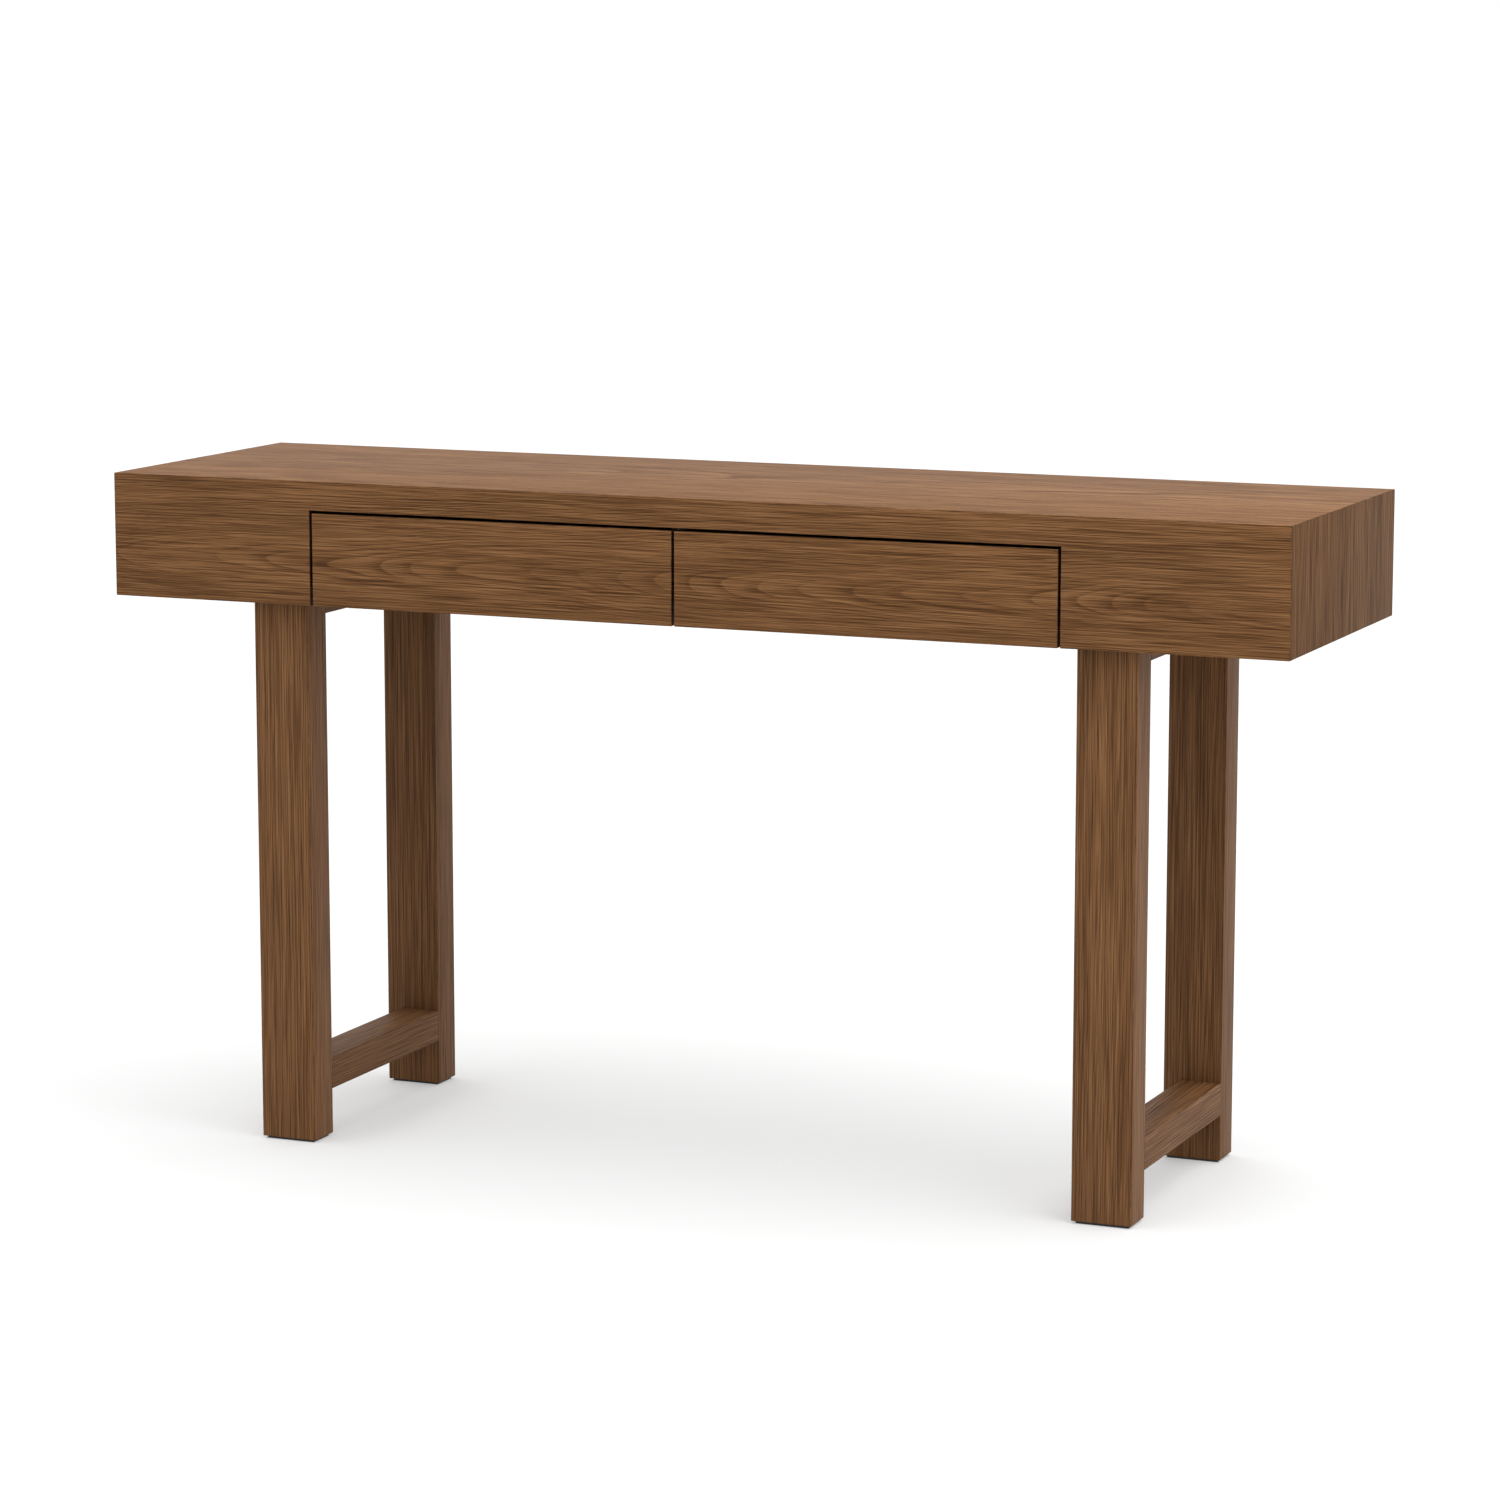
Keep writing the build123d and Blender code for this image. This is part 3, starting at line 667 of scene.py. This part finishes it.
class CONSOLE_OT_fascia(Operator):
    """Build the fascia and its drawer opening."""

    bl_idname = "console.fascia"
    bl_label = "Fascia"

    def execute(self, context):
        shape = context.scene.table_shape
        board = mitred_board("fascia", "front_fascia", -Y, (X, -X, Z))
        low = Vector((-OPENING_HALF, CASE_LOW.y - PAST, CASE_LOW.z - PAST))
        high = Vector((OPENING_HALF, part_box("front_fascia")[1].y + PAST, OPENING_TOP))
        hollow(board, low, high)

        def on_mouth(start, end):
            middle = (start + end) / 2
            on_front = abs(middle.y - CASE_LOW.y) < TOUCH
            inside = abs(middle.x) < OPENING_HALF + TOUCH and middle.z < OPENING_TOP + TOUCH
            return on_front and inside and middle.z > CASE_LOW.z + shape.case_arris + TOUCH

        def in_mouth(face):
            inside = abs(face.center.x) < OPENING_HALF + TOUCH and face.center.z < OPENING_TOP + TOUCH
            return inside and abs(face.normal.y) < TOUCH and not is_arris(face)

        round_edges(board, shape.opening_arris, 2, on_mouth)
        # Painted shadow: the faces inside the drawer opening are marked to be darkened as gap shade.
        mark_faces(board, "painted_gap_shade", in_mouth)
        finish_piece(board, "table", ["front_fascia"], front_oak())
        return {"FINISHED"}


def front_oak():
    """One sheet of figured oak for the fascia and both drawer fronts."""
    made = bpy.data.materials.get("oak front")
    if made:
        return made
    middle = Vector((0, CASE_LOW.y, CASE_MIDDLE.z - 0.02))
    return stained_oak("oak front", X, -Y, middle, FRONT_SEED, depth=0.035, taper=-0.05, wander=0.02)


class CONSOLE_OT_back_board(Operator):
    """Build the mitred back board."""

    bl_idname = "console.back_board"
    bl_label = "Back board"

    def execute(self, context):
        board = mitred_board("back_board", "back_panel", Y, (X, -X, Z))
        middle = Vector((0, CASE_HIGH.y, CASE_MIDDLE.z))
        oak = stained_oak("oak back", X, Y, middle, BACK_SEED, depth=0.16, taper=-0.02, wander=0.012)
        finish_piece(board, "table", ["back_panel"], oak)
        return {"FINISHED"}


class CONSOLE_OT_end_boards(Operator):
    """Build the mitred end boards, with upright grain."""

    bl_idname = "console.end_boards"
    bl_label = "End boards"

    def execute(self, context):
        for number, (side, outward) in enumerate(zip(SIDES, (-X, X))):
            node = f"{side}_end_panel"
            board = mitred_board(f"{side}_end_board", node, outward, (Y, -Y, Z))
            centre = case_face(node, outward) + Y * 0.5
            # Painted shade: the end boards are darkened to 0.60 to take back the light that the low softbox
            # throws on them.
            oak = stained_oak(
                f"oak {side} end", Z, outward, centre, FIRST_END_SEED + number,
                depth=0.3, taper=0.01, tint_and_painted_shade=0.60, gloss=0.03, contrast=2.1,
            )
            finish_piece(board, "table", [node], oak)
        return {"FINISHED"}


class CONSOLE_OT_drawer_fronts(Operator):
    """Build the two drawer fronts."""

    bl_idname = "console.drawer_fronts"
    bl_label = "Drawer fronts"

    def execute(self, context):
        shape = context.scene.table_shape
        nodes = [f"{side}_drawer_front" for side in SIDES]
        model = add_block("front_board", *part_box(nodes[0]))
        round_edges(model, shape.drawer_arris, shape.arris_steps, any_edge)
        # Painted shadow: the edge faces of the drawer fronts are marked to be darkened as gap shade.
        mark_faces(model, "painted_gap_shade", lambda face: abs(face.normal.y) < TOUCH and not is_arris(face))
        for side, node, board in zip(SIDES, nodes, copies(model, nodes)):
            rename(board, f"{side}_front_board")
            finish_piece(board, f"{side}_drawer", [node], front_oak())
        return {"FINISHED"}


class CONSOLE_OT_posts(Operator):
    """Build the four posts of the leg frames."""

    bl_idname = "console.posts"
    bl_label = "Posts"

    def execute(self, context):
        shape = context.scene.table_shape
        places = [(side, end) for side in SIDES for end in ("front", "rear")]
        nodes = [f"{side}_{end}_post" for side, end in places]
        model = add_block("post", *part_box(nodes[0]))
        round_edges(model, shape.post_arris, shape.arris_steps, any_edge)
        for number, (place, node, post) in enumerate(zip(places, nodes, copies(model, nodes))):
            rename(post, "{}_{}_leg".format(*place))
            low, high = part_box(node)
            centre = Vector(((low.x + high.x) / 2 + 0.25, (low.y + high.y) / 2, 0))
            # Painted shade: the rear posts are darker than the front ones, for the shade of the case above them.
            oak = stained_oak(
                "oak {} {} leg".format(*place), Z, -Y, centre, FIRST_POST_SEED + number,
                depth=0.2, taper=0.006, tint_and_painted_shade=0.97 if "front" in place else 0.84, gloss=0.1, contrast=0.76,
            )
            finish_piece(post, "table", [node], oak)
        return {"FINISHED"}


class CONSOLE_OT_rails(Operator):
    """Build the stretchers and top rails of the leg frames."""

    bl_idname = "console.rails"
    bl_label = "Rails"

    def execute(self, context):
        shape = context.scene.table_shape
        nodes = [f"{side}_{part}" for side in SIDES for part in ("stretcher", "top_rail")]

        def long_edge(start, end):
            return abs(start.y - end.y) > TOUCH

        model = add_block("rail", *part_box(nodes[0]))
        round_edges(model, shape.post_arris, shape.arris_steps, long_edge)
        for number, (node, rail) in enumerate(zip(nodes, copies(model, nodes))):
            rename(rail, f"{node}_bar")
            low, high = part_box(node)
            centre = Vector((high.x, 0, low.z - 0.15))
            # Painted shade: the rails are darkened like the rear posts, for the shade of the case above them.
            oak = stained_oak(
                "oak " + node.replace("_", " "), Y, X, centre, FIRST_RAIL_SEED + number,
                depth=0.15, taper=0.01, tint_and_painted_shade=0.84, gloss=0.08, contrast=0.8,
            )
            finish_piece(rail, "table", [node], oak)
        return {"FINISHED"}


class CONSOLE_OT_carcass(Operator):
    """Finish the hidden boards of the case: the bottom, partitions and glue blocks."""

    bl_idname = "console.carcass"
    bl_label = "Carcass"

    def execute(self, context):
        under = Vector((0, 0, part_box("bottom_panel")[0].z))
        oak = stained_oak("oak bottom", X, -Z, under, BOTTOM_SEED, depth=0.2, wander=0.05, tint_and_painted_shade=0.9)
        dress(["bottom_panel"], oak)
        inside = pale_wood("stained carcass", Y, *CARCASS_COLOURS)
        dress([f"{place}_partition" for place in ("left", "centre", "right")], inside)
        dress(["glue_blocks"], inside)
        return {"FINISHED"}


class CONSOLE_OT_drawer_boxes(Operator):
    """Finish the dovetailed drawer boxes."""

    bl_idname = "console.drawer_boxes"
    bl_label = "Drawer boxes"

    def execute(self, context):
        sides = pale_wood("maple along the drawer", Y, *MAPLE_COLOURS)
        ends = pale_wood("maple across the drawer", X, *MAPLE_COLOURS)
        base = pale_wood("birch plywood", X, *BIRCH_COLOURS)
        for side in SIDES:
            box = f"{side}_drawer_box"
            dress([f"{box}_left_side", f"{box}_right_side"], sides)
            dress([f"{box}_front", f"{box}_back"], ends)
            dress([f"{box}_bottom"], base)
        return {"FINISHED"}


class CONSOLE_OT_metalwork(Operator):
    """Finish the runners, ball cages, screws, bolts and inserts."""

    bl_idname = "console.metalwork"
    bl_label = "Metalwork"

    def execute(self, context):
        finishes = {
            "_runner": plated_steel("zinc runner", *RUNNER_ZINC, Y),
            "_cages": plated_steel("steel cage", *CAGE_STEEL, Y),
            "_screws": plated_steel("zinc screw", *SCREW_ZINC, UNDRAWN),
            "_bolts": plated_steel("black bolt", *BLACK_OXIDE, UNDRAWN),
            "_inserts": plated_steel("brass insert", *BRASS, UNDRAWN),
        }
        for ending, metal in finishes.items():
            dress([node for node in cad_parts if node.endswith(ending)], metal)
        return {"FINISHED"}


class CONSOLE_OT_frame_fittings(Operator):
    """Finish the dowels and the floor glides."""

    bl_idname = "console.frame_fittings"
    bl_label = "Dowels and glides"

    def execute(self, context):
        beech = pale_wood("beech dowel", Y, *BEECH_COLOURS)
        nylon = black_nylon()
        dress([f"{side}_frame_dowels" for side in SIDES], beech)
        dress([f"{side}_glides" for side in SIDES], nylon)
        return {"FINISHED"}


class CONSOLE_OT_stage(Operator):
    """Set the floor, the lights and the camera."""

    bl_idname = "console.stage"
    bl_label = "Studio"

    def execute(self, context):
        studio = context.scene.studio_set
        place_camera(studio)
        lay_floor(studio)
        light_surround(studio)
        high, low = studio.softbox_power, studio.side_power
        softbox("softbox", place=(1.5, -0.45, 2.0), target=(0.5, 0, 0.7), size=1.3, power=high)
        softbox("low softbox", place=(3.4, 0.4, 0.8), target=(0.5, 0, 0.4), size=1.6, power=low)
        context.scene.view_settings.view_transform = "Standard"
        return {"FINISHED"}


def place_camera(studio):
    """Stand the camera where it sees the drawers and the right end."""
    data = bpy.data.cameras.new("studio camera")
    data.lens = studio.lens
    data.clip_end = 1000
    camera = bpy.data.objects.new("studio camera", data)
    camera.location = studio.camera_place
    camera.rotation_euler = (math.pi / 2 - studio.camera_tilt, 0, studio.camera_heading)
    bpy.context.scene.collection.objects.link(camera)
    bpy.context.scene.camera = camera


def lay_floor(studio):
    """A plain pale floor under the glides."""
    bpy.ops.object.select_all(action="DESELECT")
    bpy.ops.mesh.primitive_plane_add(size=studio.floor_size, location=(0, 0, 0))
    floor = bpy.context.object
    floor.name = "floor"
    material, _, shader = new_material("pale floor")
    shader.inputs["Base Color"].default_value = (*[studio.floor_grey] * 3, 1)
    shader.inputs["Roughness"].default_value = 0.9
    shader.inputs["Specular IOR Level"].default_value = 0.0
    shader.inputs["Emission Color"].default_value = (1, 1, 1, 1)
    shader.inputs["Emission Strength"].default_value = studio.floor_glow
    floor.data.materials.append(material)


def light_surround(studio):
    """A white surround on every side, brighter overhead."""
    world = bpy.data.worlds.new("white surround")
    world.use_nodes = True
    tree = world.node_tree
    direction = add_node(tree, "ShaderNodeTexCoord").outputs["Generated"]
    upward = add_node(tree, "ShaderNodeSeparateXYZ", {0: direction}).outputs[2]
    brightest = studio.surround_light + studio.ceiling_light
    overhead = remap(tree, upward, 0.55, 0.95, studio.surround_light, brightest)
    surround = tree.nodes["Background"]
    surround.inputs["Color"].default_value = (1, 1, 1, 1)
    tree.links.new(overhead, surround.inputs["Strength"])
    bpy.context.scene.world = world


def softbox(name, place, target, size, power):
    """A large square lamp that faces a target."""
    data = bpy.data.lights.new(name, "AREA")
    data.size = size
    data.energy = power
    lamp = bpy.data.objects.new(name, data)
    lamp.location = place
    lamp.visible_camera = False
    lamp.rotation_euler = (Vector(target) - Vector(place)).to_track_quat("-Z", "Y").to_euler()
    bpy.context.scene.collection.objects.link(lamp)


STEPS = (
    CONSOLE_OT_stage,
    CONSOLE_OT_top_board,
    CONSOLE_OT_fascia,
    CONSOLE_OT_back_board,
    CONSOLE_OT_end_boards,
    CONSOLE_OT_drawer_fronts,
    CONSOLE_OT_posts,
    CONSOLE_OT_rails,
    CONSOLE_OT_carcass,
    CONSOLE_OT_drawer_boxes,
    CONSOLE_OT_metalwork,
    CONSOLE_OT_frame_fittings,
)


class CONSOLE_PT_panel(Panel):
    """The console table's steps and settings."""

    bl_idname = "CONSOLE_PT_panel"
    bl_label = "Console table"
    bl_space_type = "VIEW_3D"
    bl_region_type = "UI"
    bl_category = "Console table"

    def draw(self, context):
        layout = self.layout
        for group in (context.scene.table_shape, context.scene.oak_finish, context.scene.studio_set):
            column = layout.box().column()
            for name in group.__annotations__:
                column.prop(group, name)
        for step in STEPS:
            layout.operator(step.bl_idname)


SETTINGS = {"table_shape": TableShape, "oak_finish": OakFinish, "studio_set": StudioSet}


def register():
    """Add the settings, the steps and the panel."""
    for name, group in SETTINGS.items():
        bpy.utils.register_class(group)
        setattr(bpy.types.Scene, name, PointerProperty(type=group))
    for shown in (*STEPS, CONSOLE_PT_panel):
        bpy.utils.register_class(shown)


def unregister():
    """Take the panel, the steps and the settings away."""
    for shown in (CONSOLE_PT_panel, *reversed(STEPS)):
        bpy.utils.unregister_class(shown)
    for name, group in SETTINGS.items():
        delattr(bpy.types.Scene, name)
        bpy.utils.unregister_class(group)


def main():
    """Run every step in order."""
    register()
    for step in STEPS:
        family, name = step.bl_idname.split(".")
        outcome = getattr(getattr(bpy.ops, family), name)()
        if outcome != {"FINISHED"}:
            raise RuntimeError(f"{step.bl_label} did not finish")


if __name__ == "__main__":
    main()
